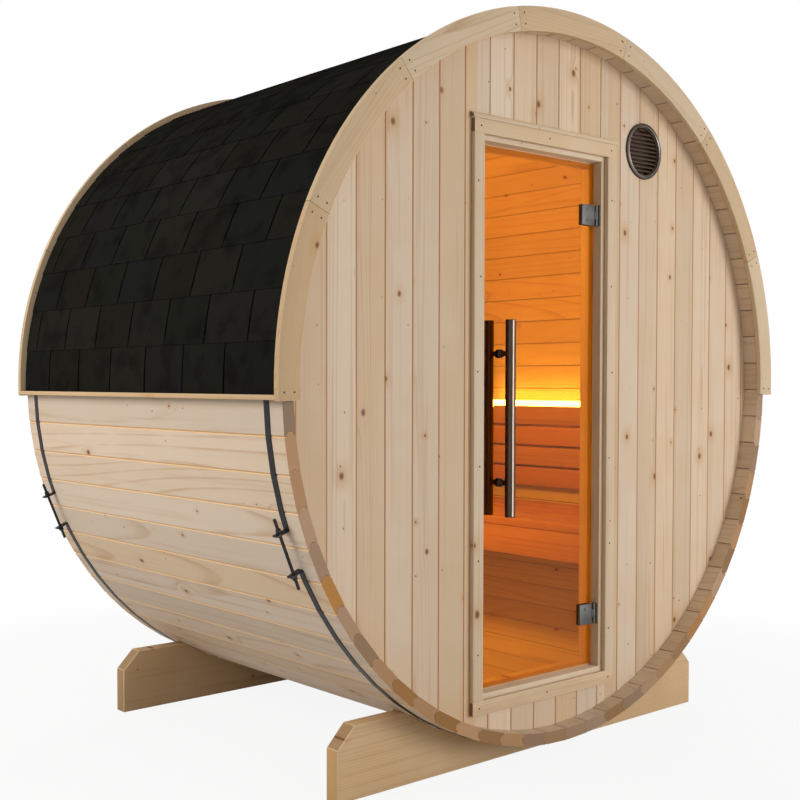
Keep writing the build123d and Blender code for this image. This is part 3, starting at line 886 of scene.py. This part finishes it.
hinge = dict(ease=0.0012, sharp=50, screwRadius=0.0048, screwHead=0.0016, screwSunk=0.0006, screwSides=16,
             slotWidth=0.0011, screwAt=0.36, screwIn=0.014, plateDepth=0.008)


# a countersunk screw head with a straight slot, facing the front
def screwHead():
    radius, tall, side = hinge["screwRadius"], hinge["screwHead"], hinge["slotWidth"] / 2
    head = turned("screw", [(radius, -hinge["screwSunk"]), (radius, tall * 0.5), (radius * 0.8, tall)],
                  hinge["screwSides"])
    wide = radius * 1.2
    return carve(head, cuboid("slot", (-wide, -side, tall * 0.4), (wide, side, tall * 2)))


def hingePlates(name, node):
    parts = loose(copyOf(node, name))
    for part in parts:
        soften(part, hinge["ease"], 2, hinge["sharp"])
    return parts


def doorHinges():
    leaves = hingePlates("leaves", "hinge_leaves")
    finish(joined("hingeJambSide", leaves), hingeSteel, ["hinge_leaves"])
    plates = hingePlates("plates", "hinge_clamps")
    screws = []
    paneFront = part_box("door_glass")[0].y
    outerPlates = [p for p in plates if middleOf(p).y < paneFront]
    for plate in outerPlates:
        corners = [Vector(c) for c in plate.bound_box]
        plateLow, plateHigh = corners[0], corners[6]
        x = plateLow.x + (plateHigh.x - plateLow.x) * hinge["screwAt"]
        flat = plateHigh.y - hinge["plateDepth"]
        head = screwHead()
        for z in (plateLow.z + hinge["screwIn"], plateHigh.z - hinge["screwIn"]):
            spin = Matrix.Rotation(dice.uniform(0, math.pi), 4, "Z")
            screws.append(twin(head, "screw", facing(forward, (x, flat, z)) @ spin))
        bpy.data.objects.remove(head)
    finish(joined("hingeDoorSide", plates), hingeSteel, ["hinge_clamps"], "door")
    finish(joined("hingeScrews", screws), hingeSteel, (), "door")


doorHinges()
print("door ready")


# vent: a rolled ring with a bright lip round the brown louvres, and a dark cup behind them
vent = dict(sides=72, lip=0.0045, lipStand=0.0008, lipDrop=0.0005, lipIn=0.003, roll=0.003, bladeEase=0.0008,
            screenIn=0.006, screenDeep=0.003, sleeve=0.0015, sleeveRoom=0.0005)


def roundVent():
    low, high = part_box("vent_ring")
    centre = ((low.x + high.x) / 2, high.y, (low.z + high.z) / 2)
    outer = (high.x - low.x) / 2
    bore = min(math.hypot(p.x - centre[0], p.z - centre[2]) for p in pointsOf("vent_ring"))
    depth = high.y - low.y
    roll, lip = vent["roll"], vent["lip"]
    flange = turned("ventFlange", [(outer, 0.0), (outer, depth - roll),
                                   (outer - roll * 0.3, depth - roll * 0.3), (outer - roll, depth),
                                   (bore + lip, depth), (bore + lip, 0.0)], vent["sides"], True)
    place(flange, facing(forward, centre))
    finish(flange, ventDark, ["vent_ring"])
    shoulder = depth - vent["lipDrop"]
    bright = turned("ventLip", [(bore + lip, 0.0), (bore + lip, shoulder),
                                (bore + lip * 0.6, depth + vent["lipStand"]), (bore + lip * 0.2, shoulder),
                                (bore, depth - vent["lipIn"]), (bore, 0.0)], vent["sides"], True)
    place(bright, facing(forward, centre))
    finish(bright, ventSteel)
    blades = loose(copyOf("vent_louvres", "blades"))
    for blade in blades:
        soften(blade, vent["bladeEase"])
    finish(joined("ventBlades", blades), louvrePaint, ["vent_louvres"])
    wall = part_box("front_wall_right")
    back = wall[1].y - vent["screenIn"]
    front = back - wall[0].y
    outside, inside = bore - vent["sleeveRoom"], bore - vent["sleeve"]
    screen = turned("ventScreen", [(outside, 0.0), (outside, front), (inside, front),
                                   (inside, vent["screenDeep"])], vent["sides"])
    place(screen, facing(forward, (centre[0], back, centre[2])))
    finish(screen, louvrePaint)


roundVent()
print("vent ready")


# bands keep their nodes; the tensioners get threads, chamfered nuts and washers
tension = dict(angle=math.radians(202.8), radius=1.022, length=0.186, rod=0.0038, thread=0.0005, pitch=0.003,
               rodSides=10, nutAcross=0.013, nutHeight=0.009, nutEase=0.0004, nutOff=0.0017,
               earSpan=math.radians(3.0), earHalf=0.0022, washer=0.0085, washerRim=0.0012, washerTop=0.0016,
               washerEase=0.0004, washerSides=20)


def tensioners():
    rings = []
    turns = int(tension["length"] / tension["pitch"])
    for step in range(turns):
        z = -tension["length"] / 2 + step * tension["pitch"]
        rings += [(tension["rod"], z), (tension["rod"] + tension["thread"], z + tension["pitch"] / 2)]
    rings.append((tension["rod"], tension["length"] / 2))
    rod = turned("rod", rings, tension["rodSides"])
    corner, tall = tension["nutAcross"] / math.sqrt(3), tension["nutHeight"]
    nut = turned("nut", [(corner * 0.9, 0.0), (corner, tall * 0.12), (corner, tall * 0.88),
                         (corner * 0.9, tall)], 6)
    soften(nut, tension["nutEase"], 1)
    wide = tension["washer"]
    washer = turned("washer", [(wide, 0.0), (wide, tension["washerRim"]),
                               (wide - tension["washerEase"], tension["washerTop"])], tension["washerSides"])
    bands = []
    for node in ("front_band", "rear_band"):
        low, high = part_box(node)
        y = (low.y + high.y) / 2
        angle = tension["angle"]
        centre = (tension["radius"] * math.cos(angle), y, axisZ + tension["radius"] * math.sin(angle))
        along = Vector((-math.sin(angle), 0, math.cos(angle)))
        sit = facing(along, centre)
        bands.append(twin(rod, "rod", sit))
        for side in (-1, 1):
            ear = side * (tension["radius"] * math.tan(tension["earSpan"]) + tension["earHalf"])
            flip = Matrix.Rotation(0 if side > 0 else math.pi, 4, "X")
            stack = sit @ Matrix.Translation((0, 0, ear)) @ flip
            bands.append(twin(washer, "washer", stack))
            bands.append(twin(nut, "nut", stack @ Matrix.Translation((0, 0, tension["nutOff"]))))
    for model in (rod, nut, washer):
        bpy.data.objects.remove(model)
    return finish(joined("tensionRods", bands), bandSteel, ["band_tensioners"])


tensioners()
for node in ("front_band", "rear_band"):
    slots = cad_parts[node].data.materials
    slots.clear()
    slots.append(bandSteel)
print("bands ready")


# the light behind the backrest: a grey strip, rounded, whose faces above the slats glow towards the room
diffuser = dict(ease=0.003, segments=3, turned=0.3)


def ledStrip():
    strip = copyOf("light_strip", "ledStrip")
    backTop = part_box("backrest_slats")[1].z
    edit(strip)
    bpy.ops.mesh.bisect(plane_co=(0, 0, backTop), plane_no=(0, 0, 1))
    objectMode()
    soften(strip, diffuser["ease"], diffuser["segments"])
    finish(strip, profileGrey, ["light_strip"])
    strip.data.materials.append(led)
    for face in strip.data.polygons:
        glows = face.center.z > backTop and face.normal.x < -diffuser["turned"]
        face.material_index = 1 if glows else 0


ledStrip()

# nails: flat heads in pairs at the fascia joints and along the casings
nails = dict(radius=0.0026, stand=0.0007, sunk=0.0008, sides=10, fasciaIn=0.018, jointOff=0.02, casingRows=6,
             stray=0.006, shares=(0.04, 0.5, 0.96))


def nailHead():
    return turned("nail", [(nails["radius"], -nails["sunk"]), (nails["radius"], nails["stand"] * 0.6),
                           (nails["radius"] * 0.7, nails["stand"])], nails["sides"])


def trimNails():
    model = nailHead()
    heads = []

    def drive(x, y, z):
        heads.append(twin(model, "nail", facing(forward, (x, y, z))))
    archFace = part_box("front_fascia")[0].y
    inner, outer, startAngle, sweep = archSpan("front_fascia")
    for joint in range(fascia["boards"] + 1):
        for side in (-1, 1):
            angle = startAngle + joint * sweep + side * nails["jointOff"]
            if not startAngle < angle < math.pi - startAngle:
                continue
            for radius in (inner + nails["fasciaIn"], outer - nails["fasciaIn"]):
                drive(radius * math.cos(angle), archFace, axisZ + radius * math.sin(angle))
    for node in ("casing_left", "casing_right"):
        low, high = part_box(node)
        for row in range(nails["casingRows"]):
            z = low.z + (high.z - low.z) * (row + 0.5) / nails["casingRows"]
            drive((low.x + high.x) / 2 + dice.uniform(-nails["stray"], nails["stray"]), low.y, z)
    for node in ("casing_head", "casing_bottom"):
        low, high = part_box(node)
        for share in nails["shares"]:
            drive(low.x + (high.x - low.x) * share, low.y, (low.z + high.z) / 2)
    bpy.data.objects.remove(model)
    return finish(joined("trimNails", heads), nailSteel)


trimNails()
print("nails ready")


# floor, light and camera
studio = dict(floorSize=14.0, floorDrop=0.0004, floorGrey=(0.62, 0.62, 0.62, 1), whiteNear=0.9, fadeFrom=1.3,
              fadeTo=2.6, ambient=0.42)


# 1 for rays that show the surroundings themselves: seen straight on, mirrored or through glass
def whiteRays(sheet):
    rays = ("Is Camera Ray", "Is Glossy Ray", "Is Transmission Ray")
    seen, gloss, through = sheet.node("LightPath", {}, {}, rays)
    return (seen + gloss + through).clamped()


def paleFloor():
    deselect()
    bpy.ops.mesh.primitive_plane_add(size=studio["floorSize"], location=(0, 0, -studio["floorDrop"]))
    floor = bpy.context.object
    floor.name = "studioFloor"
    bpy.ops.object.transform_apply(location=True)
    material, sheet = newFinish("paleFloor")
    spot = sheet.node("TexCoord", {}, {}, "Object")
    reach = sheet.node("VectorMath", {"operation": "LENGTH"}, {0: spot}, "Value")
    speck = sheet.node("TexNoise", {}, {"Vector": spot, "Scale": 30.0})
    lit = sheet.node("BsdfPrincipled", {}, {"Base Color": studio["floorGrey"],
                                            "Roughness": 0.9 + speck * 0.05, "Specular IOR Level": 0.0})
    glow = sheet.node("Emission", {}, {"Color": (1, 1, 1, 1), "Strength": 1.0})
    far = reach.ease(studio["fadeFrom"], studio["fadeTo"])
    white = whiteRays(sheet) * (studio["whiteNear"] + far * (1 - studio["whiteNear"]))
    closeFinish(sheet, sheet.node("MixShader", {}, {0: white, 1: lit, 2: glow}))
    floor.data.materials.append(material)


def whiteWorld():
    world = bpy.data.worlds.new("studioWorld")
    bpy.context.scene.world = world
    world.use_nodes = True
    world.node_tree.nodes.clear()
    sheet = Wire(world.node_tree)
    strength = studio["ambient"] + whiteRays(sheet) * (1 - studio["ambient"])
    sky = sheet.node("Background", {}, {"Color": (1.0, 1.0, 1.0, 1), "Strength": strength})
    sheet.node("OutputWorld", {}, {"Surface": sky}, out=())


def softbox(name, spot, target, size, power, colour=(1, 1, 1), seen=True, lights=True):
    lamp = bpy.data.lights.new(name, "AREA")
    lamp.shape = "RECTANGLE"
    lamp.size, lamp.size_y = size
    lamp.energy = power
    lamp.color = colour
    obj = bpy.data.objects.new(name, lamp)
    bpy.context.collection.objects.link(obj)
    obj.location = spot
    obj.rotation_euler = (Vector(target) - Vector(spot)).to_track_quat("-Z", "Y").to_euler()
    obj.visible_camera = False
    obj.visible_glossy = seen
    obj.visible_diffuse = lights
    obj.visible_transmission = False


paleFloor()
whiteWorld()
softbox("keyLight", (2.1, -5.0, 1.5), (0, -0.6, 1.05), (2.2, 3.2), 126)
softbox("reflector", (0.5, -4.7, 1.2), (-0.2, -0.6, 0.95), (1.7, 2.8), 180, lights=False)
softbox("leftLight", (-4.2, 0.9, 2.9), (-0.7, 0.0, 0.9), (2.2, 2.2), 105, (1.0, 0.97, 0.93))
softbox("farLight", (3.6, 3.0, 2.4), (0.4, 0.3, 1.1), (2.4, 2.4), 95, (1.0, 0.98, 0.96))
softbox("sauna", (-0.3, 0.1, 1.6), (0.7, 0.1, 0.9), (0.9, 0.4), 11.4, (1.0, 0.76, 0.5), False)
softbox("footLight", (-0.5, 0.0, 0.6), (0.35, 0.0, 0.1), (0.9, 0.25), 3.4, (1.0, 0.76, 0.52), False)
softbox("benchGlow", (0.905, 0.0, 0.985), (0.96, 0.0, 1.01), (0.98, 0.012), 1.3, (1.0, 0.86, 0.6), False)

view = dict(spot=(-2.6118, -2.8013, 1.0557), yaw=0.6856, pitch=-0.0302, sensor=36.0, lens=53.35,
            shift=(0.0875, 0.0206))


def camera():
    data = bpy.data.cameras.new("photoView")
    data.sensor_width = view["sensor"]
    data.lens = view["lens"]
    data.shift_x, data.shift_y = view["shift"]
    obj = bpy.data.objects.new("photoView", data)
    bpy.context.collection.objects.link(obj)
    obj.location = view["spot"]
    flat = math.cos(view["pitch"])
    ahead = Vector((math.sin(view["yaw"]) * flat, math.cos(view["yaw"]) * flat, math.sin(view["pitch"])))
    obj.rotation_euler = ahead.to_track_quat("-Z", "Y").to_euler()
    bpy.context.scene.camera = obj


camera()
bpy.context.scene.view_settings.view_transform = "Standard"
print("studio ready")
